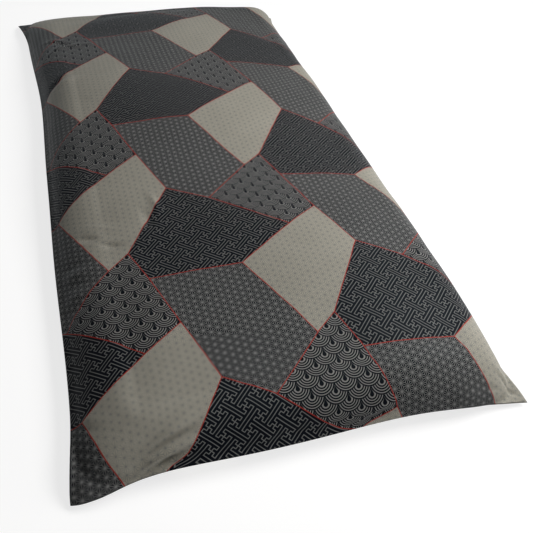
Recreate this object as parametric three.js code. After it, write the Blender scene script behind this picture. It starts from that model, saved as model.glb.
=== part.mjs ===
// A futon mattress in its closed printed cotton cover, lying flat on a floor.
// Two rectangular panels are sewn together all round and turned, and the mattress fills them.
// Millimetres, +Z up. X runs across the futon, Y runs along it towards the far end.
// The origin is on the floor under the middle of the futon.
import * as THREE from 'three';

// Flat size of each sewn panel
const PANEL_WIDTH = 1050;
const PANEL_LENGTH = 2150;

// The filled form above the seam
const CROWN_RISE = 66;            // rise from the seam to the top beside the shoulders
const CROWN_GAIN = 1.1;           // extra share of that rise at the middle of the bed

// How far in from each edge the top climbs, at stations along that edge.
// "at" is the share of the edge, from the near end for the sides and from the left for the ends.
const SHOULDERS = [
  { at: 0.00, left: 275, right: 131, near: 244, far: 282 },
  { at: 0.25, left: 228, right: 139, near: 219, far: 254 },
  { at: 0.50, left: 205, right: 134, near: 188, far: 223 },
  { at: 0.75, left: 181, right: 133, near: 175, far: 168 },
  { at: 1.00, left: 191, right: 143, near: 228, far: 134 },
];
const SHOULDER_POWER = { left: 2.66, right: 1.92, near: 2.44, far: 2.18 };  // larger is a steeper wall
const SHOULDER_BLEND = 1.53;      // how two shoulders join at a corner

// Height of the sewn edge above the floor. "drawn" is how far the gathers draw the near edge in.
const SEAM_NEAR = [
  { at: 0,    height: 9.5,  drawn: 4.4 },
  { at: 55,   height: 21.6, drawn: -3.8 },
  { at: 110,  height: 30.0, drawn: 3.6 },
  { at: 190,  height: 37.2, drawn: 10.8 },
  { at: 330,  height: 39.1, drawn: 7.6 },
  { at: 525,  height: 36.5, drawn: 3.2 },
  { at: 750,  height: 39.5, drawn: 2.0 },
  { at: 880,  height: 33.6, drawn: 0.5 },
  { at: 970,  height: 18.0, drawn: -0.2 },
  { at: 1050, height: 10.0, drawn: 2.8 },
];
const DRAWN_REACH = 70;
const SEAM_FAR = [
  { at: 0,    height: 9.3 },
  { at: 110,  height: 26.3 },
  { at: 260,  height: 40.0 },
  { at: 525,  height: 42.5 },
  { at: 790,  height: 44.0 },
  { at: 940,  height: 31.7 },
  { at: 1050, height: 9.3 },
];
const SEAM_SIDES = [
  { at: 0,    left: 9.5,  right: 10.0 },
  { at: 70,   left: 40.5, right: 25.3 },
  { at: 160,  left: 46.2, right: 39.8 },
  { at: 330,  left: 45.0, right: 52.3 },
  { at: 700,  left: 49.9, right: 47.6 },
  { at: 1075, left: 58.5, right: 51.2 },
  { at: 1450, left: 48.9, right: 44.5 },
  { at: 1820, left: 40.3, right: 36.9 },
  { at: 1990, left: 33.5, right: 33.0 },
  { at: 2080, left: 26.8, right: 30.9 },
  { at: 2150, left: 9.3,  right: 9.3 },
];
const SEAM_LEVEL = 44;            // the seam level carried on under the filling
const SEAM_REACH = 255;           // distance over which the edge heights fade to it

// The pointed corners: where each lies on the flat panel, and how far it is pushed in plan
const CORNERS = [
  { across: 0,           along: 0,            shiftX: -3.6, shiftY: 5.3 },
  { across: PANEL_WIDTH, along: 0,            shiftX: -6.4, shiftY: 32.8 },
  { across: 0,           along: PANEL_LENGTH, shiftX: -5.0, shiftY: -4.2 },
  { across: PANEL_WIDTH, along: PANEL_LENGTH, shiftX: 0.7,  shiftY: 1.1 },
];
const CORNER_REACH = 80;

// The underside, from the sewn edge down to the flat that rests on the floor
const UNDER_REACH = 85;
const UNDER_POWER = 2;
const FLAT_ACROSS = 500;          // a plain rectangle at the middle of the flat
const FLAT_ALONG = 1300;

// Cloth drawn down steeply still covers this share of its length in plan
const LEAST_PLAN_SHARE = 0.15;

// Grid of the faceted surface, closer together towards the edges
const CELLS_ACROSS = 38;
const CELLS_ALONG = 66;
const EDGE_CLOSENESS = 1.5;
const UNDER_CELLS = 6;

// Uneven filling: height added to the crown, at stations along the length.
// "at" is the share of the panel length; the other columns go from the left edge to the right edge.
const FILLING = [
  { at: 0.00, left: -3.5,  midLeft: -7.9,  middle: -7.7,  midRight: -3.5, right: -6.4 },
  { at: 0.14, left: -1.3,  midLeft: -8.5,  middle: 4.0,   midRight: 21.8, right: 7.3 },
  { at: 0.28, left: -8.3,  midLeft: -19.2, middle: -7.0,  midRight: 9.0,  right: 21.4 },
  { at: 0.42, left: 4.2,   midLeft: -11.4, middle: -15.6, midRight: -9.1, right: 2.9 },
  { at: 0.56, left: -3.9,  midLeft: 7.0,   middle: 11.4,  midRight: 14.5, right: 8.9 },
  { at: 0.70, left: -2.9,  midLeft: 6.6,   middle: 7.7,   midRight: 10.3, right: 4.3 },
  { at: 0.84, left: -5.4,  midLeft: -10.2, middle: 9.8,   midRight: 3.9,  right: -3.5 },
  { at: 1.00, left: -13.8, midLeft: -13.9, middle: -3.1,  midRight: -4.0, right: 0.7 },
];
const FILLING_ACROSS = [
  { at: 0.00, column: 'left' },
  { at: 0.25, column: 'midLeft' },
  { at: 0.50, column: 'middle' },
  { at: 0.75, column: 'midRight' },
  { at: 1.00, column: 'right' },
];

// Main folds of the top panel, as soft troughs (rise below zero) and ridges.
// across and along place the middle of a fold on the flat panel, and heading turns it
// from the X direction, anticlockwise in degrees.
const FOLDS = [
  { across: 140, along: 1752, heading: -24, length: 100, width: 50, rise: -7 },
  { across: 150, along: 1710, heading: 12,  length: 180, width: 58, rise: 6 },
  { across: 136, along: 672,  heading: -26, length: 96,  width: 52, rise: -5 },
  { across: 294, along: 752,  heading: -82, length: 120, width: 46, rise: 4 },
  { across: 196, along: 46,   heading: 22,  length: 160, width: 48, rise: 6 },
  { across: 995, along: 74,   heading: -45, length: 110, width: 48, rise: -4 },
];

// A natural cubic spline through the values at the knots
function spline(knots, values) {
  const n = knots.length;
  const step = knots.slice(1).map((k, i) => k - knots[i]);
  const bend = new Array(n).fill(0);
  const pivot = new Array(n).fill(1);
  const right = new Array(n).fill(0);
  for (let i = 1; i < n - 1; i++) {
    const slopeChange = (values[i + 1] - values[i]) / step[i] - (values[i] - values[i - 1]) / step[i - 1];
    const share = i > 1 ? step[i - 1] / pivot[i - 1] : 0;
    pivot[i] = 2 * (step[i - 1] + step[i]) - share * (i > 1 ? step[i - 1] : 0);
    right[i] = 6 * slopeChange - share * right[i - 1];
  }
  for (let i = n - 2; i > 0; i--) bend[i] = (right[i] - step[i] * bend[i + 1]) / pivot[i];
  return (t) => {
    let i = 0;
    while (i < n - 2 && t > knots[i + 1]) i++;
    const h = step[i];
    const a = (knots[i + 1] - t) / h;
    const b = (t - knots[i]) / h;
    return a * values[i] + b * values[i + 1]
      + ((a ** 3 - a) * bend[i] + (b ** 3 - b) * bend[i + 1]) * h * h / 6;
  };
}

// 0 at an edge, climbing to 1 at the reach and staying there
function climb(distance, reach, power) {
  const share = Math.min(Math.max(distance / reach, 0), 1);
  return 1 - (1 - share) ** power;
}

// A smooth curve through one column of a table
function curve(table, column, length = 1) {
  return spline(table.map((row) => row.at * length), table.map((row) => row[column]));
}

const fillingColumns = FILLING_ACROSS.map(({ column }) => curve(FILLING, column, PANEL_LENGTH));

function fillingHeight(across, along) {
  const values = fillingColumns.map((column) => column(along));
  return spline(FILLING_ACROSS.map((row) => row.at), values)(across / PANEL_WIDTH);
}

function foldHeight(across, along) {
  let height = 0;
  for (const fold of FOLDS) {
    const turn = THREE.MathUtils.degToRad(fold.heading);
    const dx = across - fold.across;
    const dy = along - fold.along;
    const down = dx * Math.cos(turn) + dy * Math.sin(turn);
    const over = -dx * Math.sin(turn) + dy * Math.cos(turn);
    height += fold.rise * Math.exp(-2 * (2 * down / fold.length) ** 2 - 2 * (2 * over / fold.width) ** 2);
  }
  return height;
}

// Height of the seam level: the four edge heights, each fading inwards, joined at the corners
const seamNear = curve(SEAM_NEAR, 'height');
const seamFar = curve(SEAM_FAR, 'height');
const seamLeft = curve(SEAM_SIDES, 'left');
const seamRight = curve(SEAM_SIDES, 'right');

function seamHeight(across, along) {
  const fade = (distance) => 1 - climb(distance, SEAM_REACH, 2);
  const left = fade(across);
  const right = fade(PANEL_WIDTH - across);
  const near = fade(along);
  const far = fade(PANEL_LENGTH - along);
  return SEAM_LEVEL
    + (seamNear(across) - SEAM_LEVEL) * near + (seamFar(across) - SEAM_LEVEL) * far
    + (seamLeft(along) - SEAM_LEVEL) * left + (seamRight(along) - SEAM_LEVEL) * right
    - (seamNear(0) - SEAM_LEVEL) * left * near - (seamNear(PANEL_WIDTH) - SEAM_LEVEL) * right * near
    - (seamFar(0) - SEAM_LEVEL) * left * far - (seamFar(PANEL_WIDTH) - SEAM_LEVEL) * right * far;
}

// 0 at the sewn edge, climbing to 1 on top of the bed
const leftReach = curve(SHOULDERS, 'left', PANEL_LENGTH);
const rightReach = curve(SHOULDERS, 'right', PANEL_LENGTH);
const nearReach = curve(SHOULDERS, 'near', PANEL_WIDTH);
const farReach = curve(SHOULDERS, 'far', PANEL_WIDTH);

function shoulderShare(across, along) {
  const side = across < PANEL_WIDTH / 2
    ? 1 - climb(across, leftReach(along), SHOULDER_POWER.left)
    : 1 - climb(PANEL_WIDTH - across, rightReach(along), SHOULDER_POWER.right);
  const end = along < PANEL_LENGTH / 2
    ? 1 - climb(along, nearReach(across), SHOULDER_POWER.near)
    : 1 - climb(PANEL_LENGTH - along, farReach(across), SHOULDER_POWER.far);
  return Math.max(0, 1 - (side ** SHOULDER_BLEND + end ** SHOULDER_BLEND) ** (1 / SHOULDER_BLEND));
}

function topHeight(across, along) {
  const crown = 1 + CROWN_GAIN * (1 - (2 * across / PANEL_WIDTH - 1) ** 2) * (1 - (2 * along / PANEL_LENGTH - 1) ** 2);
  return seamHeight(across, along)
    + (CROWN_RISE * crown + fillingHeight(across, along) + foldHeight(across, along)) * shoulderShare(across, along);
}

function underHeight(across, along) {
  const fromSide = Math.min(across, PANEL_WIDTH - across);
  const fromEnd = Math.min(along, PANEL_LENGTH - along);
  const settled = climb(fromSide, UNDER_REACH, UNDER_POWER) * climb(fromEnd, UNDER_REACH, UNDER_POWER);
  return settled >= 1 ? 0 : seamHeight(across, along) * (1 - settled);
}

// Grid lines from 0 to a flat length, closer together towards both ends
function gridLines(length, cells) {
  return Array.from({ length: cells + 1 }, (_, k) => {
    const s = 2 * k / cells - 1;
    return length * (1 + Math.sign(s) * (1 - (1 - Math.abs(s)) ** EDGE_CLOSENESS)) / 2;
  });
}

// Plan positions along one line of cloth: each step keeps its length on the slope,
// so a steep side draws the edge in. The middle of the line stays at zero.
function planPositions(lines, heights) {
  const out = [0];
  for (let k = 1; k < lines.length; k++) {
    const flat = lines[k] - lines[k - 1];
    const rise = heights[k] - heights[k - 1];
    out.push(out[k - 1] + Math.sqrt(Math.max(flat * flat - rise * rise, (LEAST_PLAN_SHARE * flat) ** 2)));
  }
  const middle = out[(lines.length - 1) / 2];
  return out.map((x) => x - middle);
}

// Small shifts in plan from the gathers of the near edge and the corners
const nearDrawn = curve(SEAM_NEAR, 'drawn');

function gatherShift(across, along) {
  let x = 0;
  let y = nearDrawn(across) * Math.exp(-((along / DRAWN_REACH) ** 2));
  for (const corner of CORNERS) {
    const share = Math.exp(-(((across - corner.across) / CORNER_REACH) ** 2) - ((along - corner.along) / CORNER_REACH) ** 2);
    x += corner.shiftX * share;
    y += corner.shiftY * share;
  }
  return [x, y];
}

function filledCoverGeometry() {
  const us = gridLines(PANEL_WIDTH, CELLS_ACROSS);
  const vs = gridLines(PANEL_LENGTH, CELLS_ALONG);
  const z = us.map((u) => vs.map((v) => topHeight(u, v)));
  const acrossPlan = vs.map((_, j) => planPositions(us, us.map((_, i) => z[i][j])));
  const alongPlan = us.map((_, i) => planPositions(vs, z[i]));
  const plan = us.map((u, i) => vs.map((v, j) => {
    const [dx, dy] = gatherShift(u, v);
    return [acrossPlan[j][i] + dx, alongPlan[i][j] + dy];
  }));
  const middleOf = (axis) => {
    const all = plan.flat().map((p) => p[axis]);
    return (Math.min(...all) + Math.max(...all)) / 2;
  };
  const middle = [middleOf(0), middleOf(1)];
  const x = plan.map((line) => line.map((p) => p[0] - middle[0]));
  const y = plan.map((line) => line.map((p) => p[1] - middle[1]));

  const points = [];
  const faces = [];
  const add = (px, py, pz) => points.push(px, py, pz) / 3 - 1;
  const quad = (a, b, c, d) => faces.push(a, b, c, a, c, d);

  const top = us.map((_, i) => vs.map((_, j) => add(x[i][j], y[i][j], z[i][j])));
  for (let i = 0; i < CELLS_ACROSS; i++) {
    for (let j = 0; j < CELLS_ALONG; j++) {
      quad(top[i][j], top[i + 1][j], top[i + 1][j + 1], top[i][j + 1]);
    }
  }

  const ring = (i, j) => Math.min(i, CELLS_ACROSS - i, j, CELLS_ALONG - j);
  const under = us.map((u, i) => vs.map((v, j) => {
    if (ring(i, j) === 0) return top[i][j];
    if (ring(i, j) > UNDER_CELLS) return -1;
    return add(x[i][j], y[i][j], ring(i, j) === UNDER_CELLS ? 0 : underHeight(u, v));
  }));
  const far = CELLS_ACROSS - UNDER_CELLS;
  const end = CELLS_ALONG - UNDER_CELLS;
  for (let i = 0; i < CELLS_ACROSS; i++) {
    for (let j = 0; j < CELLS_ALONG; j++) {
      if (i >= UNDER_CELLS && i < far && j >= UNDER_CELLS && j < end) continue;
      quad(under[i][j], under[i][j + 1], under[i + 1][j + 1], under[i + 1][j]);
    }
  }

  // The flat that rests on the floor: its outline, and a plain rectangle in the middle
  const outline = [];
  for (let i = UNDER_CELLS; i < far; i++) outline.push(under[i][UNDER_CELLS]);
  for (let j = UNDER_CELLS; j < end; j++) outline.push(under[far][j]);
  for (let i = far; i > UNDER_CELLS; i--) outline.push(under[i][end]);
  for (let j = end; j > UNDER_CELLS; j--) outline.push(under[UNDER_CELLS][j]);
  const hx = FLAT_ACROSS / 2;
  const hy = FLAT_ALONG / 2;
  const rectangle = [[-hx, -hy], [-hx, hy], [hx, hy], [hx, -hy]].map(([px, py]) => add(px, py, 0));
  const flatPoint = (index) => new THREE.Vector2(points[3 * index], points[3 * index + 1]);
  const all = [...outline, ...rectangle];
  for (const [a, b, c] of THREE.ShapeUtils.triangulateShape(outline.map(flatPoint), [rectangle.map(flatPoint)])) {
    const [pa, pb, pc] = [all[a], all[b], all[c]].map(flatPoint);
    const turnsLeft = (pb.x - pa.x) * (pc.y - pa.y) - (pb.y - pa.y) * (pc.x - pa.x) > 0;
    if (turnsLeft) faces.push(all[a], all[c], all[b]);
    else faces.push(all[a], all[b], all[c]);
  }
  faces.push(rectangle[0], rectangle[1], rectangle[2], rectangle[0], rectangle[2], rectangle[3]);

  const geometry = new THREE.BufferGeometry();
  geometry.setAttribute('position', new THREE.Float32BufferAttribute(points, 3));
  geometry.setIndex(faces);
  geometry.computeVertexNormals();
  return geometry;
}

const printedCotton = new THREE.MeshStandardMaterial({ color: 0x3a3b3c, roughness: 0.9, metalness: 0 });

const futon = new THREE.Group();
const filledCover = new THREE.Mesh(filledCoverGeometry(), printedCotton);
filledCover.name = 'futon_in_cover';
futon.add(filledCover);

export default futon;
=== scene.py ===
"""A futon mattress in its closed printed cotton cover, lying on a pale floor. Metres in the scene, millimetres in the tables."""

import math

import bpy
import numpy as np
from mathutils import Matrix, Vector


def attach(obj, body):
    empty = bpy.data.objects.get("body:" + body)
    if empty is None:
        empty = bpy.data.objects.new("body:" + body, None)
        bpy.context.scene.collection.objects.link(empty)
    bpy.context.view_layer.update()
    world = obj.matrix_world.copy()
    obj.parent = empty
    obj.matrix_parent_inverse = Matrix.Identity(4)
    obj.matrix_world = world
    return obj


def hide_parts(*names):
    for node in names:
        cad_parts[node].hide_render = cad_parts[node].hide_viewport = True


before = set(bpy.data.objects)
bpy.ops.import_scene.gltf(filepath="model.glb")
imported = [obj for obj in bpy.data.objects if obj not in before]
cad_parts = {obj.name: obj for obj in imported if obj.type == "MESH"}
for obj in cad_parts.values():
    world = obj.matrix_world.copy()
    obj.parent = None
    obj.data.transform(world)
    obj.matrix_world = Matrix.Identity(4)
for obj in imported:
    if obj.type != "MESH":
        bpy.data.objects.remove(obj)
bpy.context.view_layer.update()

MM = 0.001

# ---------------------------------------------------------------- the camera
# Where it stands, and the directions of its right, up and back
CAMERA_AT = (-0.4880, -1.8206, 1.3136)
CAMERA_RIGHT = (0.95366, -0.28438, 0.09829)
CAMERA_UP = (0.12228, 0.66477, 0.73697)
CAMERA_BACK = (-0.27492, -0.69080, 0.66874)
CAMERA_LENS = 48.68

camera_data = bpy.data.cameras.new("camera")
camera_data.lens = CAMERA_LENS
camera_data.sensor_width = 36.0
camera = bpy.data.objects.new("camera", camera_data)
bpy.context.scene.collection.objects.link(camera)
turn = Matrix((CAMERA_RIGHT, CAMERA_UP, CAMERA_BACK)).transposed()
camera.matrix_world = Matrix.Translation(Vector(CAMERA_AT)) @ turn.to_quaternion().to_matrix().to_4x4()
bpy.context.scene.camera = camera

# ---------------------------------------------------------------- the filled form, as the CAD part has it
PANEL_WIDTH = 1050.0
PANEL_LENGTH = 2150.0
CROWN_RISE = 66.0
CROWN_GAIN = 1.1
SHOULDER_BLEND = 1.53
SHOULDER_POWER = {"left": 2.66, "right": 1.92, "near": 2.44, "far": 2.18}
SHOULDERS = {  # how far in each edge climbs, at quarters of that edge
    "left":  (275, 228, 205, 181, 191),
    "right": (131, 139, 134, 133, 143),
    "near":  (244, 219, 188, 175, 228),
    "far":   (282, 254, 223, 168, 134),
}
# Height of the sewn edge: stations along each edge, then heights there
SEAM_NEAR = ((0, 55, 110, 190, 330, 525, 750, 880, 970, 1050),
             (9.5, 21.6, 30.0, 37.2, 39.1, 36.5, 39.5, 33.6, 18.0, 10.0))
NEAR_DRAWN = (4.4, -3.8, 3.6, 10.8, 7.6, 3.2, 2.0, 0.5, -0.2, 2.8)
DRAWN_REACH = 70.0
SEAM_FAR = ((0, 110, 260, 525, 790, 940, 1050), (9.3, 26.3, 40.0, 42.5, 44.0, 31.7, 9.3))
SEAM_SIDES = (0, 70, 160, 330, 700, 1075, 1450, 1820, 1990, 2080, 2150)
SEAM_LEFT = (9.5, 40.5, 46.2, 45.0, 49.9, 58.5, 48.9, 40.3, 33.5, 26.8, 9.3)
SEAM_RIGHT = (10.0, 25.3, 39.8, 52.3, 47.6, 51.2, 44.5, 36.9, 33.0, 30.9, 9.3)
SEAM_LEVEL = 44.0
SEAM_REACH = 255.0
CORNER_SHIFTS = (  # across, along, then the push in plan
    (0, 0, -3.6, 5.3), (1050, 0, -6.4, 32.8), (0, 2150, -5.0, -4.2), (1050, 2150, 0.7, 1.1),
)
CORNER_REACH = 80.0
UNDER_REACH = 85.0
LEAST_PLAN_SHARE = 0.15
MIDDLE = (-3.3, 4.6)  # middle of the box, from the middle of the panels

STATIONS_ALONG = (0.00, 0.14, 0.28, 0.42, 0.56, 0.70, 0.84, 1.00)
QUARTERS = (0.00, 0.25, 0.50, 0.75, 1.00)
FILLING = {  # height added to the crown at each station along the length
    "left":      (-3.5, -1.3, -8.3, 4.2, -3.9, -2.9, -5.4, -13.8),
    "mid_left":  (-7.9, -8.5, -19.2, -11.4, 7.0, 6.6, -10.2, -13.9),
    "middle":    (-7.7, 4.0, -7.0, -15.6, 11.4, 7.7, 9.8, -3.1),
    "mid_right": (-3.5, 21.8, 9.0, -9.1, 14.5, 10.3, 3.9, -4.0),
    "right":     (-6.4, 7.3, 21.4, 2.9, 8.9, 4.3, -3.5, 0.7),
}

# Soft folds of the top, listed one by one: middle on the flat panel, heading from the X direction,
# length, width and rise (a trough is below zero), and how far the fold bows sideways at its ends
PULLS = [
    # across, along, reach across, reach along, cloth tucked in across, cloth tucked in along
    (198, 0, 60, 27, 35, 0),
    (628, 0, 80, 32, 0, -34),
]
FOLDS = [
    # across, along, heading, length, width, rise, bow
    (138, 1752, -33, 84, 22, -9, 10),
    (150, 1712, 12, 170, 40, 7, 26),
    (106, 1790, -24, 90, 26, 5, 6),
    (92, 1466, 20, 110, 34, -7, 6),
    (130, 1440, 10, 100, 40, 4, 0),
    (108, 680, -26, 84, 24, -8, 5),
    (163, 636, -20, 70, 22, -7, -5),
    (146, 656, -24, 110, 20, 3.5, 0),
    (136, 712, -20, 120, 22, 2.5, 8),
    (294, 750, -82, 120, 22, 6.5, 7),
    (268, 706, -80, 90, 24, -4.5, 7),
    (262, 690, -84, 90, 20, -3, 4),
    (186, 17, 17, 150, 23, -12, 3),
    (192, 38, 19, 180, 24, 10, 4),
    (198, 59, 21, 170, 24, -7, 4),
    (206, 80, 23, 170, 28, 5, 4),
    (58, 610, -12, 110, 28, -3, 3),
    (64, 578, -8, 120, 28, 3, 0),
    (56, 545, -14, 110, 28, -3, -3),
    (66, 508, -6, 120, 30, 3, 3),
    (54, 470, -12, 110, 30, -2.5, 0),
    (560, 26, 12, 90, 22, -4, 0),
    (470, 24, -8, 80, 22, -3.5, 0),
    (400, 28, 10, 80, 22, 3, 0),
    (214, 84, 26, 150, 34, 3, 6),
    (150, 10, 12, 70, 18, 4, 0),
    (44, 140, -27, 66, 20, -1.8, 3),
    (52, 160, -24, 80, 22, 1.2, 3),
    (40, 116, -30, 60, 22, 1, 3),
    (660, 17, 14, 130, 18, -6, 2),
    (655, 36, 16, 150, 22, 4, 3),
    (1008, 52, -44, 90, 18, -6, 3),
    (994, 74, -46, 100, 22, 4, 4),
    (948, 40, -12, 60, 16, -3, 0),
    (880, 30, 8, 80, 20, 4, 0),
    (830, 28, -6, 80, 20, -4, 0),
    (770, 30, 10, 80, 20, 3.5, 0),
]


def spline(knots, values, t):
    """Natural cubic spline."""
    knots, values, t = (np.asarray(a, float) for a in (knots, values, t))
    n = len(knots)
    h = np.diff(knots)
    a, b = np.zeros((n, n)), np.zeros(n)
    a[0, 0] = a[-1, -1] = 1
    for i in range(1, n - 1):
        a[i, i - 1:i + 2] = h[i - 1], 2 * (h[i - 1] + h[i]), h[i]
        b[i] = 6 * ((values[i + 1] - values[i]) / h[i] - (values[i] - values[i - 1]) / h[i - 1])
    bend = np.linalg.solve(a, b)
    i = np.clip(np.searchsorted(knots, t) - 1, 0, n - 2)
    p, q = (knots[i + 1] - t) / h[i], (t - knots[i]) / h[i]
    return p * values[i] + q * values[i + 1] + ((p**3 - p) * bend[i] + (q**3 - q) * bend[i + 1]) * h[i]**2 / 6


def climb(distance, reach, power):
    return 1 - (1 - np.clip(distance / reach, 0, 1)) ** power


def edge_distances(u, v):
    return np.minimum(u, PANEL_WIDTH - u), np.minimum(v, PANEL_LENGTH - v)


def filling_height(us, vs):
    columns = np.array([spline(STATIONS_ALONG, FILLING[k], vs / PANEL_LENGTH) for k in FILLING])
    return np.array([spline(QUARTERS, c, us / PANEL_WIDTH) for c in columns.T]).T


def pulled(u, v, column):
    """How far the print is drawn along where a crease takes up cloth at the sewn edge."""
    total = np.zeros_like(u)
    for row in PULLS:
        near = np.exp(-2 * ((u - row[0]) / row[2]) ** 2) * np.clip(1 - np.abs(v - row[1]) / row[3], 0, 1)
        total += near * row[column]
    return total


def fold_height(u, v):
    out = np.zeros_like(u)
    for across, along, heading, length, width, rise, bow in FOLDS:
        c, s = math.cos(math.radians(heading)), math.sin(math.radians(heading))
        down = (u - across) * c + (v - along) * s
        over = -(u - across) * s + (v - along) * c + bow * (2 * down / length) ** 2
        out += rise * np.exp(-2 * (2 * down / length) ** 2 - 2 * (2 * over / width) ** 2)
    return out


def seam_height(us, vs):
    """The seam level: four edge heights, each fading inwards, joined at the corners."""
    near, far = (spline(*table, us)[:, None] - SEAM_LEVEL for table in (SEAM_NEAR, SEAM_FAR))
    left, right = (spline(SEAM_SIDES, heights, vs)[None, :] - SEAM_LEVEL for heights in (SEAM_LEFT, SEAM_RIGHT))
    fl, fr = (1 - climb(d, SEAM_REACH, 2)[:, None] for d in (us, PANEL_WIDTH - us))
    fn, ff = (1 - climb(d, SEAM_REACH, 2)[None, :] for d in (vs, PANEL_LENGTH - vs))
    corners = (near[0, 0] * fl + near[-1, 0] * fr) * fn + (far[0, 0] * fl + far[-1, 0] * fr) * ff
    return SEAM_LEVEL + near * fn + far * ff + left * fl + right * fr - corners


def shoulder_share(us, vs):
    """0 at the sewn edge, climbing to 1 on top of the bed."""
    reach = {k: spline(QUARTERS, v, (vs / PANEL_LENGTH if k in ("left", "right") else us / PANEL_WIDTH)) for k, v in SHOULDERS.items()}
    u, v = np.meshgrid(us, vs, indexing="ij")
    side = np.where(u < PANEL_WIDTH / 2,
                    1 - climb(u, reach["left"][None, :], SHOULDER_POWER["left"]),
                    1 - climb(PANEL_WIDTH - u, reach["right"][None, :], SHOULDER_POWER["right"]))
    end = np.where(v < PANEL_LENGTH / 2,
                   1 - climb(v, reach["near"][:, None], SHOULDER_POWER["near"]),
                   1 - climb(PANEL_LENGTH - v, reach["far"][:, None], SHOULDER_POWER["far"]))
    return np.clip(1 - (side**SHOULDER_BLEND + end**SHOULDER_BLEND) ** (1 / SHOULDER_BLEND), 0, 1)


def plan_positions(lines, heights, axis):
    step = np.diff(lines)
    step = step[:, None] if axis == 0 else step[None, :]
    rise = np.diff(heights, axis=axis)
    run = np.sqrt(np.maximum(step**2 - rise**2, (LEAST_PLAN_SHARE * step) ** 2))
    out = np.concatenate([np.zeros_like(np.take(heights, [0], axis)), np.cumsum(run, axis=axis)], axis=axis)
    return out - np.take(out, [(len(lines) - 1) // 2], axis)


def form(us, vs):
    """Top and under points of the filled cover over a grid of cloth lines, in millimetres."""
    u, v = np.meshgrid(us, vs, indexing="ij")
    a, b = edge_distances(u, v)
    crown = 1 + CROWN_GAIN * (1 - (2 * u / PANEL_WIDTH - 1) ** 2) * (1 - (2 * v / PANEL_LENGTH - 1) ** 2)
    seam = seam_height(us, vs)
    top_z = seam + (CROWN_RISE * crown + filling_height(us, vs)) * shoulder_share(us, vs)
    settled = climb(a, UNDER_REACH, 2) * climb(b, UNDER_REACH, 2)
    under_z = np.where(settled >= 1, 0.0, seam * (1 - settled))
    x = plan_positions(us, top_z, 0) - MIDDLE[0]
    y = plan_positions(vs, top_z, 1) - MIDDLE[1]
    y += spline(SEAM_NEAR[0], NEAR_DRAWN, us)[:, None] * np.exp(-((v / DRAWN_REACH) ** 2))
    for across, along, dx, dy in CORNER_SHIFTS:
        share = np.exp(-(((u - across) / CORNER_REACH) ** 2) - ((v - along) / CORNER_REACH) ** 2)
        x += dx * share
        y += dy * share
    return np.stack([x, y, top_z], -1), np.stack([x, y, under_z], -1)


# ---------------------------------------------------------------- meshes over a grid of cloth lines
SHEET = 2200.0  # one UV unit, in millimetres of cloth: both panels lie side by side in it


def shell(name, us, vs, top, under):
    """One closed body: the top grid, and the under grid joined to it along the sewn edge."""
    nu, nv = len(us), len(vs)
    top_id = np.arange(nu * nv).reshape(nu, nv)
    under_id = top_id.copy()
    inner = (nu - 2) * (nv - 2)
    under_id[1:-1, 1:-1] = nu * nv + np.arange(inner).reshape(nu - 2, nv - 2)
    points = np.concatenate([top.reshape(-1, 3), under[1:-1, 1:-1].reshape(-1, 3)]) * MM
    quads = np.stack([top_id[:-1, :-1], top_id[1:, :-1], top_id[1:, 1:], top_id[:-1, 1:]], -1).reshape(-1, 4)
    below = np.stack([under_id[:-1, :-1], under_id[:-1, 1:], under_id[1:, 1:], under_id[1:, :-1]], -1).reshape(-1, 4)
    me = bpy.data.meshes.new(name)
    me.from_pydata(points.tolist(), [], np.concatenate([quads, below]).tolist())
    u, v = np.meshgrid(us, vs, indexing="ij")
    top_uv = np.stack([u + pulled(u, v, 4), v + pulled(u, v, 5)], -1) / SHEET + 0.01
    under_uv = np.stack([2 * PANEL_WIDTH + 40 - u, v], -1) / SHEET + 0.01
    corners = [top_uv[:-1, :-1], top_uv[1:, :-1], top_uv[1:, 1:], top_uv[:-1, 1:]]
    lower = [under_uv[:-1, :-1], under_uv[:-1, 1:], under_uv[1:, 1:], under_uv[1:, :-1]]
    uv = np.concatenate([np.stack(c, -2).reshape(-1, 2) for c in (corners, lower)])
    layer = me.uv_layers.new(name="Cloth")
    layer.data.foreach_set("uv", uv.astype(np.float32).ravel())
    me.validate()
    ob = bpy.data.objects.new(name, me)
    bpy.context.scene.collection.objects.link(ob)
    return ob, top_id, under_id


def resample(coarse, fine):
    """Catmull-Rom weights that carry values on evenly spaced coarse lines to the fine lines."""
    n = len(coarse)
    t = (fine - coarse[0]) / (coarse[1] - coarse[0])
    i = np.clip(np.floor(t).astype(int), 0, n - 2)
    f = t - i
    weights = np.zeros((len(fine), n))
    parts = (-0.5 * f + f**2 - 0.5 * f**3, 1 - 2.5 * f**2 + 1.5 * f**3, 0.5 * f + 2 * f**2 - 1.5 * f**3, -0.5 * f**2 + 0.5 * f**3)
    for k, w in zip((-1, 0, 1, 2), parts):
        np.add.at(weights, (np.arange(len(fine)), np.clip(i + k, 0, n - 1)), w)
    return weights


def blurred(field, cells):
    """A smooth copy of a grid of vectors, by repeated averaging along both directions."""
    out = field.copy()
    for _ in range(int(cells**2 * 1.5)):
        for axis in (0, 1):
            pad = np.concatenate([np.take(out, [0], axis), out, np.take(out, [-1], axis)], axis)
            n = out.shape[axis]
            lower = np.take(pad, range(0, n), axis)
            upper = np.take(pad, range(2, n + 2), axis)
            out = 0.5 * out + 0.25 * (lower + upper)
    return out


SIM_ACROSS, SIM_ALONG, SIM_FRAMES = 76, 156, 18
SIM_CAP = 14.0
SEWN_REACH = 45.0
SIM_SHARE = 0.55


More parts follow.
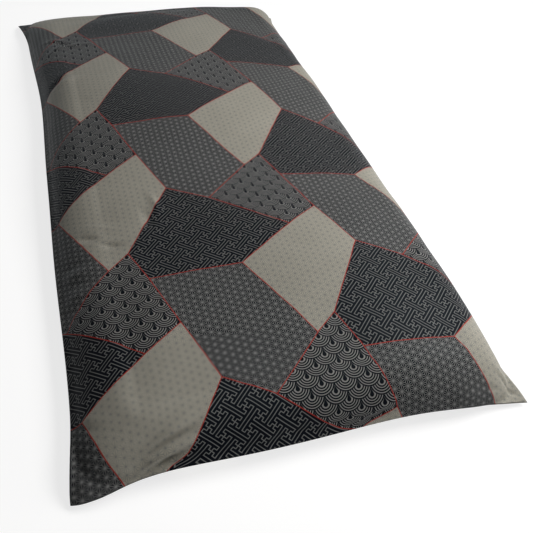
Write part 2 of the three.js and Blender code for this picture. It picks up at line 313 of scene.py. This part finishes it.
def simulated_puckers():
    """How far the cloth moves from the plain form as it is pressed out from inside, cut to its flat size, in millimetres."""
    us = np.linspace(0, PANEL_WIDTH, SIM_ACROSS + 1)
    vs = np.linspace(0, PANEL_LENGTH, SIM_ALONG + 1)
    top, under = form(us, vs)
    ob, top_id, under_id = shell("settling_cloth", us, vs, top, under)
    me = ob.data
    ob.shape_key_add(name="filled", from_mix=False)
    flat = ob.shape_key_add(name="flat", from_mix=False)
    u, v = np.meshgrid(us - PANEL_WIDTH / 2, vs - PANEL_LENGTH / 2, indexing="ij")
    cut = np.zeros((len(me.vertices), 3))
    cut[under_id.ravel()] = np.stack([u, v, u * 0 - 2.0], -1).reshape(-1, 3)
    cut[top_id.ravel()] = np.stack([u, v, u * 0 + 2.0], -1).reshape(-1, 3)
    flat.data.foreach_set("co", (cut * MM).astype(np.float32).ravel())
    held = ob.vertex_groups.new(name="held")
    a, b = edge_distances(*np.meshgrid(us, vs, indexing="ij"))
    inside = np.minimum(a, b)
    for weight, ids in ((1.0, under_id[inside >= UNDER_REACH]),
                        (0.22, top_id[inside >= 150]), (0.10, top_id[(inside < 150) & (inside >= 60)]),
                        (0.05, top_id[inside < 60])):
        held.add([int(k) for k in np.unique(ids)], weight, "REPLACE")
    cloth = ob.modifiers.new("cloth", "CLOTH")
    s = cloth.settings
    s.quality = 5
    s.mass = 0.2
    s.tension_stiffness = s.compression_stiffness = 25
    s.shear_stiffness = 6
    s.bending_stiffness = 0.25
    s.tension_damping = s.compression_damping = s.shear_damping = 12
    s.bending_damping = 1.0
    s.air_damping = 3
    s.use_pressure = True
    s.uniform_pressure_force = 4
    s.vertex_group_mass = "held"
    s.pin_stiffness = 1.5
    s.rest_shape_key = flat
    s.effector_weights.gravity = 0
    cloth.collision_settings.use_collision = False
    cloth.collision_settings.use_self_collision = False
    scene = bpy.context.scene
    cloth.point_cache.frame_start, cloth.point_cache.frame_end = 1, SIM_FRAMES
    for k in range(1, SIM_FRAMES + 1):
        scene.frame_set(k)
    shown = ob.evaluated_get(bpy.context.evaluated_depsgraph_get())
    moved = np.empty(len(me.vertices) * 3, np.float32)
    shown.data.vertices.foreach_get("co", moved)
    moved = moved.reshape(-1, 3).astype(float) / MM
    scene.frame_set(1)
    out = []
    for ids, start in ((top_id, top), (under_id, under)):
        move = moved[ids] - start
        move -= blurred(move, 6)  # the large form stays as it is, only the puckers are kept
        size = np.linalg.norm(move, axis=-1, keepdims=True)
        out.append(move * SIM_CAP * np.tanh(size / SIM_CAP) / np.maximum(size, 1e-6))
    bpy.data.objects.remove(ob, do_unlink=True)
    bpy.data.meshes.remove(me)
    return us, vs, out[0], out[1]


def gathers(u, v):
    """Small gathers that the sewing draws into the cloth beside the seam, in millimetres."""
    a, b = edge_distances(u, v)
    out = np.zeros_like(u)
    for run, off, seed in ((v, a, 0.0), (u, b, 2.1)):
        far_side = np.where(run is v, u > PANEL_WIDTH / 2, v > PANEL_LENGTH / 2) * 37.0
        s = run + far_side + 0.35 * off
        wave = (np.sin(s / 7.3 + seed + 1.7 * np.sin(s / 61)) + 0.7 * np.sin(s / 11.9 + 2.3 * np.sin(s / 97 + seed))
                + 0.5 * np.sin(s / 4.4 + seed * 3))
        strength = 0.55 + 0.45 * np.sin(s / 143 + seed * 2) * np.sin(s / 57 + 1.3)
        out += wave * strength * 0.85 * np.exp(-((off / 34) ** 2)) * climb(off, 6, 1)
    return out


def long_undulations(u, v):
    """The soft lumps of a hand-laid filling, in millimetres."""
    return (1.3 * np.sin(u / 61 + 1.1 * np.sin(v / 173)) * np.sin(v / 83 + 0.9 * np.sin(u / 121))
            + 0.8 * np.sin((u + v) / 47 + 1.3 * np.sin(v / 91)) * np.sin((u - v) / 71 + 0.6))


def grid_lines(length, cells, closeness):
    s = 2 * np.arange(cells + 1) / cells - 1
    return length * (1 + np.sign(s) * (1 - (1 - np.abs(s)) ** closeness)) / 2


def surface_normals(points):
    du, dv = np.gradient(points, axis=0), np.gradient(points, axis=1)
    n = np.cross(du, dv)
    return n / np.maximum(np.linalg.norm(n, axis=-1, keepdims=True), 1e-9)


def build_futon():
    us = grid_lines(PANEL_WIDTH, 150, 1.16)
    vs = grid_lines(PANEL_LENGTH, 312, 1.12)
    top, under = form(us, vs)
    u, v = np.meshgrid(us, vs, indexing="ij")
    a, b = edge_distances(u, v)
    inside = np.minimum(a, b)
    su, sv, top_move, under_move = simulated_puckers()
    wu, wv = resample(su, us), resample(sv, vs)
    sewn = climb(inside, SEWN_REACH, 2)[..., None]  # the sewn edge holds its line
    top = top + np.einsum("ia,abk,jb->ijk", wu, top_move, wv) * sewn * SIM_SHARE
    lifted = np.einsum("ia,abk,jb->ijk", wu, under_move, wv) * sewn * SIM_SHARE
    lifted[inside >= UNDER_REACH] = 0
    under = under + lifted
    normals = surface_normals(top)
    settle = climb(inside, 40, 1)
    relief = gathers(u, v) + long_undulations(u, v) * settle + fold_height(u, v) * climb(inside, 14, 1)
    top = top + normals * relief[..., None]
    under[..., 2] = np.maximum(under[..., 2], 0.0)
    top[..., 2] = np.maximum(top[..., 2], under[..., 2] + np.where(inside > 0, 1.2, 0.0) * climb(inside, 6, 1))
    ob, _, _ = shell("futon_with_cover", us, vs, top, under)
    for polygon in ob.data.polygons:
        polygon.use_smooth = True
    return ob


# ---------------------------------------------------------------- the print, as shader nodes
# Patches repeat on a half-drop: one column to the next is STEP_ACROSS over and half a repeat up.
REPEAT = 630.0
STEP_ACROSS = 425.0
HALF_DROP = 319.0
PRINT_AT = (277.0, 338.0)
CORNERS = {  # charted on a coarse grid
    "T": (0, 0), "R": (55, -160), "K": (-80, -375), "B": (-135, -420),
    "L": (-245, -175), "N": (-45, -475), "J": (160, -225), "M": (335, -375),
}
PATCHES = {  # corners in order, each with the columns and repeats it is moved by
    "plain": (("L", 0, 0), ("T", 0, 0), ("R", 0, 0), ("K", 0, 0), ("B", 0, 0)),
    "fret": (("R", 0, 0), ("J", 0, 0), ("M", 0, 0), ("L", 1, -1), ("N", 0, 0), ("K", 0, 0)),
    "leaf": (("N", 0, 1), ("L", 1, 0), ("B", 1, 0), ("J", 0, 0), ("R", 0, 0), ("T", 0, 0)),
    "wave": (("B", 0, 0), ("K", 0, 0), ("N", 0, 0), ("T", 0, -1), ("M", -1, 0), ("J", -1, 0)),
}
BORDER_WIDTH = 2.1
FRET_UNIT = 7.425
FRET_LINE = 0.24            # share of a unit
LEAF_SIZE = 18.0
LEAF_LINE = 1.15
WAVE_WIDTH, WAVE_ROW, WAVE_RADIUS, WAVE_RING = 53.5, 22.2, 28.6, 5.45
# Where each motif starts in its patch, how much the cloth has drawn up across and along, and its skew
MOTIFS = {
    "fret":  (144.0, -288.0, 0.953, 1.003, -0.022),
    "leaf":  (123.5, -41.5, 0.970, 1.013, -0.035),
    "plain": (123.5, -41.5, 0.970, 1.013, -0.035),
    "wave":  (-85.0, -520.5, 1.0, 1.0, 0.0),
}

INK = (0.0018, 0.0024, 0.0056)
FRET_THREAD = (0.160, 0.162, 0.158)
WAVE_THREAD = (0.225, 0.225, 0.218)
LEAF_THREAD = (0.200, 0.201, 0.195)
BEIGE = (0.350, 0.330, 0.272)
BEIGE_THREAD = (0.160, 0.163, 0.158)
BORDER_RED = (0.330, 0.030, 0.019)


class Nodes:
    """Small helpers that write a node tree as sums."""

    def __init__(self, tree):
        self.tree = tree

    def put(self, kind, inputs=(), **settings):
        node = self.tree.nodes.new(kind)
        for key, value in settings.items():
            setattr(node, key, value)
        for socket, value in inputs:
            target = node.inputs[socket]
            if isinstance(value, bpy.types.NodeSocket):
                self.tree.links.new(value, target)
            else:
                target.default_value = value
        return node

    def m(self, operation, *values, clamp=False):
        node = self.put("ShaderNodeMath", list(enumerate(values)), operation=operation, use_clamp=clamp)
        return node.outputs[0]

    def vec(self, operation, *values):
        return self.put("ShaderNodeVectorMath", list(enumerate(values)), operation=operation).outputs[0]

    def dot(self, vector, direction):
        node = self.put("ShaderNodeVectorMath", [(0, vector), (1, direction)], operation="DOT_PRODUCT")
        return node.outputs["Value"]

    def joined(self, x, y):
        return self.put("ShaderNodeCombineXYZ", [(0, x), (1, y)]).outputs[0]

    def parts(self, vector):
        node = self.put("ShaderNodeSeparateXYZ", [(0, vector)])
        return node.outputs[0], node.outputs[1]

    def ramp(self, value, low, high):
        """0 at low, 1 at high, held outside."""
        node = self.put("ShaderNodeMapRange", [("Value", value), ("From Min", low), ("From Max", high)], clamp=True)
        return node.outputs[0]

    def mixed(self, share, a, b):
        node = self.put("ShaderNodeMix", data_type="RGBA")
        for socket, value in ((node.inputs[0], share), (node.inputs[6], a), (node.inputs[7], b)):
            if isinstance(value, bpy.types.NodeSocket):
                self.tree.links.new(value, socket)
            else:
                socket.default_value = value if isinstance(value, float) else (*value, 1.0)
        return node.outputs[2]

    def blend(self, share, a, b):
        """a where share is 0 and b where it is 1, for plain numbers."""
        return self.m("MULTIPLY_ADD", self.m("SUBTRACT", b, a), share, a)


def corner_at(name, columns, repeats):
    x, y = CORNERS[name]
    return x + columns * STEP_ACROSS, y + columns * HALF_DROP + repeats * REPEAT


def inside_patch(g, u, v, patch):
    """How far inside a patch a point lies, in millimetres, below zero outside it, and the point in that patch."""
    points = np.array([corner_at(*c) for c in PATCHES[patch]], float)
    middle = (points.min(0) + points.max(0)) / 2
    columns = g.m("FLOOR", g.m("MULTIPLY_ADD", u, 1 / STEP_ACROSS, 0.5 - middle[0] / STEP_ACROSS))
    x = g.m("MULTIPLY_ADD", columns, -STEP_ACROSS, u)
    y = g.m("MULTIPLY_ADD", columns, -HALF_DROP, v)
    rows = g.m("FLOOR", g.m("MULTIPLY_ADD", y, 1 / REPEAT, 0.5 - middle[1] / REPEAT))
    y = g.m("MULTIPLY_ADD", rows, -REPEAT, y)
    at = g.joined(x, y)
    least = None
    for p, q in zip(points, np.roll(points, -1, 0)):
        side = q - p
        inward = np.array([side[1], -side[0]]) / np.hypot(*side)
        if inward @ (points.mean(0) - p) < 0:
            inward = -inward
        depth = g.m("SUBTRACT", g.dot(at, (float(inward[0]), float(inward[1]), 0.0)), float(inward @ p))
        least = depth if least is None else g.m("MINIMUM", least, depth)
    return least, x, y


def fret_lines(g, u, v):
    """Key fret of linked crosses, 0 on its lines and growing away from them, in units."""
    c = 1 / (math.sqrt(2) * FRET_UNIT)
    x = g.m("MULTIPLY", g.m("ADD", u, v), c)
    y = g.m("MULTIPLY", g.m("SUBTRACT", v, u), c)
    # mirror lines stand every five units, half-way between the crosses
    x = g.m("SUBTRACT", g.m("PINGPONG", g.m("ADD", x, 502.5), 5.0), 2.5)
    y = g.m("SUBTRACT", g.m("PINGPONG", g.m("ADD", y, 502.5), 5.0), 2.5)
    # half a turn about the cross brings every point above it
    turn = g.m("SUBTRACT", 1.0, g.m("MULTIPLY", 2.0, g.m("LESS_THAN", y, 0.0)))
    at = g.joined(g.m("MULTIPLY", x, turn), g.m("MULTIPLY", y, turn))
    strokes = (  # from x, y to x, y
        (0, 0, 0, 1), (-1, 1, 0, 1), (-1, 1, -1, 2), (-1, 2, 2.6, 2),
        (-1, 0, 1, 0), (1, 0, 1, 1), (1, 1, 2, 1), (2, -2.6, 2, 1),
        (-1, -1, -1, 0), (-2, -1, -1, -1), (-2, -1, -2, 2.6),
    )
    least = None
    for x0, y0, x1, y1 in strokes:
        middle = ((x0 + x1) / 2, (y0 + y1) / 2, 0.0)
        half = (abs(x1 - x0) / 2, abs(y1 - y0) / 2, 0.0)
        off = g.vec("SUBTRACT", g.vec("ABSOLUTE", g.vec("SUBTRACT", at, middle)), half)
        depth = g.m("MAXIMUM", *g.parts(off))
        least = depth if least is None else g.m("MINIMUM", least, depth)
    return least


def leaf_lines(g, u, v, taper):
    """Hemp-leaf stars, distance from the nearest line in millimetres; the lines taper to each heart."""
    high = LEAF_SIZE * math.sqrt(3) / 2
    shares = []
    for nx, ny in ((1.0, 0.0), (-0.5, math.sqrt(3) / 2), (-0.5, -math.sqrt(3) / 2)):
        along = g.dot(g.joined(u, v), (nx / high, ny / high, 0.0))
        shares.append(g.m("FLOORED_MODULO", along, 1.0))
    total = g.m("ADD", g.m("ADD", shares[0], shares[1]), shares[2])
    flip = g.m("GREATER_THAN", total, 1.5)
    shares = [g.m("ABSOLUTE", g.m("SUBTRACT", s, flip)) for s in shares]
    least = g.m("MINIMUM", g.m("MINIMUM", shares[0], shares[1]), shares[2])
    most = g.m("MAXIMUM", g.m("MAXIMUM", shares[0], shares[1]), shares[2])
    middle = g.m("SUBTRACT", g.m("SUBTRACT", 1.0, least), most)
    edge = g.m("MULTIPLY", least, high)
    vein = g.m("MULTIPLY", g.m("SUBTRACT", middle, least), high / math.sqrt(3))
    finer = g.m("MULTIPLY_ADD", g.ramp(most, 0.60, 0.95), taper, 1.0)
    return g.m("MULTIPLY", g.m("MINIMUM", edge, vein), finer)


def wave_ink(g, u, v):
    """1 on the dark bands and drops of the overlapping waves, 0 on the pale ones."""
    half = WAVE_WIDTH / 2
    first = g.m("FLOOR", g.m("MULTIPLY_ADD", v, 1 / WAVE_ROW, WAVE_RADIUS / WAVE_ROW))
    du = dv = found = None
    for k in range(3):
        row = g.m("SUBTRACT", first, float(k)) if k else first
        shifted = g.m("MULTIPLY_ADD", row, -half, u)
        nearest = g.m("ROUND", g.m("MULTIPLY", shifted, 1 / WAVE_WIDTH))
        x = g.m("MULTIPLY_ADD", nearest, -WAVE_WIDTH, shifted)
        y = g.m("MULTIPLY_ADD", row, -WAVE_ROW, v)
        apart = g.m("SQRT", g.m("ADD", g.m("MULTIPLY", x, x), g.m("MULTIPLY", y, y)))
        hit = g.m("LESS_THAN", apart, WAVE_RADIUS)
        if k == 0:
            du, dv, found = x, y, hit
        else:
            du, dv = g.blend(found, x, du), g.blend(found, y, dv)
            found = g.m("MAXIMUM", found, hit)
    apart = g.m("SQRT", g.m("ADD", g.m("MULTIPLY", du, du), g.m("MULTIPLY", dv, dv)))
    # dark bands stand 10.5, 16, 21.4 and 26.8 mm from the middle
    phase = g.m("FLOORED_MODULO", g.m("SUBTRACT", apart, 10.5 - WAVE_RING / 2), WAVE_RING)
    band = g.m("ABSOLUTE", g.m("SUBTRACT", phase, WAVE_RING / 2))
    band = g.m("SUBTRACT", 1.0, g.ramp(band, 1.45, 1.90))
    band = g.m("MULTIPLY", band, g.m("GREATER_THAN", apart, 7.8))
    band = g.m("MULTIPLY", band, g.ramp(g.m("MULTIPLY", dv, -1.0), -1.5, 0.0))
    wide = g.m("DIVIDE", g.m("ABSOLUTE", du), 5.2)
    above = g.m("ADD", wide, g.m("DIVIDE", dv, 12.5))
    low = g.m("DIVIDE", dv, 6.0)
    below = g.m("SQRT", g.m("ADD", g.m("MULTIPLY", wide, wide), g.m("MULTIPLY", low, low)))
    drop = g.blend(g.m("GREATER_THAN", dv, 0.0), below, above)
    drop = g.m("SUBTRACT", 1.0, g.ramp(drop, 0.88, 1.08))
    return g.m("MAXIMUM", band, drop)


def printed_cotton():
    material = bpy.data.materials.new("printed_cotton")
    material.use_nodes = True
    tree = material.node_tree
    tree.nodes.clear()
    g = Nodes(tree)
    uv = g.put("ShaderNodeUVMap", uv_map="Cloth").outputs[0]
    flat = g.vec("MULTIPLY", g.vec("SUBTRACT", uv, (0.01, 0.01, 0.0)), (SHEET, SHEET, 0.0))
    # the screen never lies quite square, so the print wanders by a fraction of a millimetre
    wander = g.put("ShaderNodeTexNoise", [("Vector", flat), ("Scale", 0.012), ("Detail", 1.0)], noise_dimensions="2D")
    off = g.vec("MULTIPLY", g.vec("SUBTRACT", wander.outputs["Color"], (0.5, 0.5, 0.5)), (3.0, 3.0, 0.0))
    u, v = g.parts(g.vec("SUBTRACT", g.vec("ADD", flat, off), (PRINT_AT[0], PRINT_AT[1], 0.0)))

    patches = {name: inside_patch(g, u, v, name) for name in PATCHES}
    depths = {name: patch[0] for name, patch in patches.items()}
    share = {name: g.m("GREATER_THAN", depths[name], 0.0) for name in PATCHES}
    deepest = g.m("MAXIMUM", g.m("MAXIMUM", depths["plain"], depths["fret"]), g.m("MAXIMUM", depths["leaf"], depths["wave"]))

    def placed(name):
        across, along, scale_u, scale_v, skew = MOTIFS[name]
        du = g.m("SUBTRACT", patches[name][1], across)
        dv = g.m("SUBTRACT", patches[name][2], along)
        return g.m("MULTIPLY", du, scale_u), g.m("MULTIPLY_ADD", du, skew, g.m("MULTIPLY", dv, scale_v))

    fret = g.m("SUBTRACT", 1.0, g.ramp(fret_lines(g, *placed("fret")), FRET_LINE / 2 - 0.04, FRET_LINE / 2 + 0.04))
    leaf_distance = leaf_lines(g, *placed("leaf"), 0.40)
    leaf = g.m("SUBTRACT", 1.0, g.ramp(leaf_distance, LEAF_LINE / 2 - 0.2, LEAF_LINE / 2 + 0.25))
    faint_distance = leaf_lines(g, *placed("plain"), 0.9)
    faint = g.m("MULTIPLY", g.m("SUBTRACT", 1.0, g.ramp(faint_distance, 0.35, 0.85)), 0.95)
    wave = wave_ink(g, *placed("wave"))

    colour = g.mixed(leaf, INK, LEAF_THREAD)
    colour = g.mixed(share["fret"], colour, g.mixed(fret, INK, FRET_THREAD))
    colour = g.mixed(share["wave"], colour, g.mixed(wave, WAVE_THREAD, INK))
    colour = g.mixed(share["plain"], colour, g.mixed(faint, BEIGE, BEIGE_THREAD))
    border = g.m("SUBTRACT", 1.0, g.ramp(deepest, BORDER_WIDTH / 2 - 0.3, BORDER_WIDTH / 2 + 0.3))
    colour = g.mixed(border, colour, BORDER_RED)

    # dye takes unevenly, and threads vary a little from one to the next
    cloudy = g.put("ShaderNodeTexNoise", [("Vector", flat), ("Scale", 0.009), ("Detail", 4.0), ("Roughness", 0.6)], noise_dimensions="2D")
    slubs = g.put("ShaderNodeTexNoise", [("Vector", g.vec("MULTIPLY", flat, (0.9, 0.05, 0.0))), ("Scale", 1.0), ("Detail", 2.0)], noise_dimensions="2D")
    tone = g.m("ADD", g.m("MULTIPLY_ADD", cloudy.outputs[0], 0.16, 0.92), g.m("MULTIPLY_ADD", slubs.outputs[0], 0.18, -0.09))
    toned = g.put("ShaderNodeVectorMath", [(0, colour), ("Scale", tone)], operation="SCALE").outputs[0]

    # plain weave, warp over weft, 18 threads to the centimetre
    x, y = g.parts(flat)
    pitch = math.pi / 0.55
    warp = g.m("SINE", g.m("MULTIPLY", x, pitch))
    weft = g.m("SINE", g.m("MULTIPLY", y, pitch))
    weave = g.m("MULTIPLY", warp, weft)
    crepe = g.put("ShaderNodeTexNoise", [("Vector", flat), ("Scale", 0.16), ("Detail", 3.0), ("Roughness", 0.55)], noise_dimensions="2D")
    height = g.m("ADD", g.m("MULTIPLY", weave, 0.05), g.m("MULTIPLY", crepe.outputs[0], 0.9))
    bump = g.put("ShaderNodeBump", [("Strength", 0.35), ("Distance", 0.001), ("Height", height)])
    roughness = g.m("MULTIPLY_ADD", cloudy.outputs[0], 0.10, 0.55)

    shader = g.put("ShaderNodeBsdfPrincipled", [
        ("Base Color", toned), ("Roughness", roughness), ("Normal", bump.outputs[0]),
        ("Specular IOR Level", 0.09), ("Sheen Weight", 0.08), ("Sheen Roughness", 0.33), ("Sheen Tint", (0.80, 0.93, 1.0, 1.0)),
        ("Specular Tint", (0.78, 0.92, 1.0, 1.0)),
    ])
    g.put("ShaderNodeOutputMaterial", [(0, shader.outputs[0])])
    return material


# ---------------------------------------------------------------- the piece
futon = build_futon()
futon.data.materials.append(printed_cotton())
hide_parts("futon_in_cover")
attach(futon, "root")


# ---------------------------------------------------------------- floor and light
def pale_floor():
    me = bpy.data.meshes.new("floor")
    half = 9.0
    me.from_pydata([(-half, -half, 0), (half, -half, 0), (half, half, 0), (-half, half, 0)], [], [(0, 1, 2, 3)])
    ob = bpy.data.objects.new("floor", me)
    bpy.context.scene.collection.objects.link(ob)
    ob.location.z = -0.0006
    material = bpy.data.materials.new("pale_floor")
    material.use_nodes = True
    shader = material.node_tree.nodes["Principled BSDF"]
    shader.inputs["Base Color"].default_value = (0.30, 0.30, 0.30, 1)
    shader.inputs["Roughness"].default_value = 0.9
    shader.inputs["Specular IOR Level"].default_value = 0.0
    shader.inputs["Emission Color"].default_value = (1, 1, 1, 1)
    shader.inputs["Emission Strength"].default_value = FLOOR_GLOW
    me.materials.append(material)


def panel(name, at, towards, wide, high, power, colour):
    """A soft light panel."""
    data = bpy.data.lights.new(name, "AREA")
    data.shape = "RECTANGLE"
    data.size, data.size_y = wide, high
    data.energy = power
    data.color = colour
    ob = bpy.data.objects.new(name, data)
    bpy.context.scene.collection.objects.link(ob)
    ob.location = at
    ob.rotation_mode = "QUATERNION"
    ob.rotation_quaternion = (Vector(towards) - Vector(at)).to_track_quat("-Z", "Y")


FLOOR_GLOW = 0.77
pale_floor()
panel("high_right_panel", (1.8, -0.35, 2.3), (0.1, -0.25, 0.1), 2.4, 1.4, 94, (1.0, 0.99, 0.975))
panel("right_panel", (2.3, -1.0, 1.0), (0.1, -0.5, 0.1), 1.6, 1.0, 14, (1.0, 0.985, 0.965))
panel("top_panel", (0.3, 0.2, 3.0), (0.1, 0.0, 0.1), 2.0, 2.0, 5, (1.0, 1.0, 1.0))
panel("back_panel", (0.0, 3.4, 1.2), (0.0, 0.5, 0.1), 1.8, 1.0, 7, (0.93, 0.97, 1.0))
panel("back_left_panel", (-1.8, 3.0, 1.2), (0.0, 0.5, 0.1), 1.8, 1.0, 7, (0.93, 0.97, 1.0))
world = bpy.data.worlds.new("studio")
world.use_nodes = True
world.node_tree.nodes["Background"].inputs[0].default_value = (1.0, 1.0, 1.0, 1)
world.node_tree.nodes["Background"].inputs[1].default_value = 0.0
bpy.context.scene.world = world
bpy.context.scene.view_settings.view_transform = "Standard"
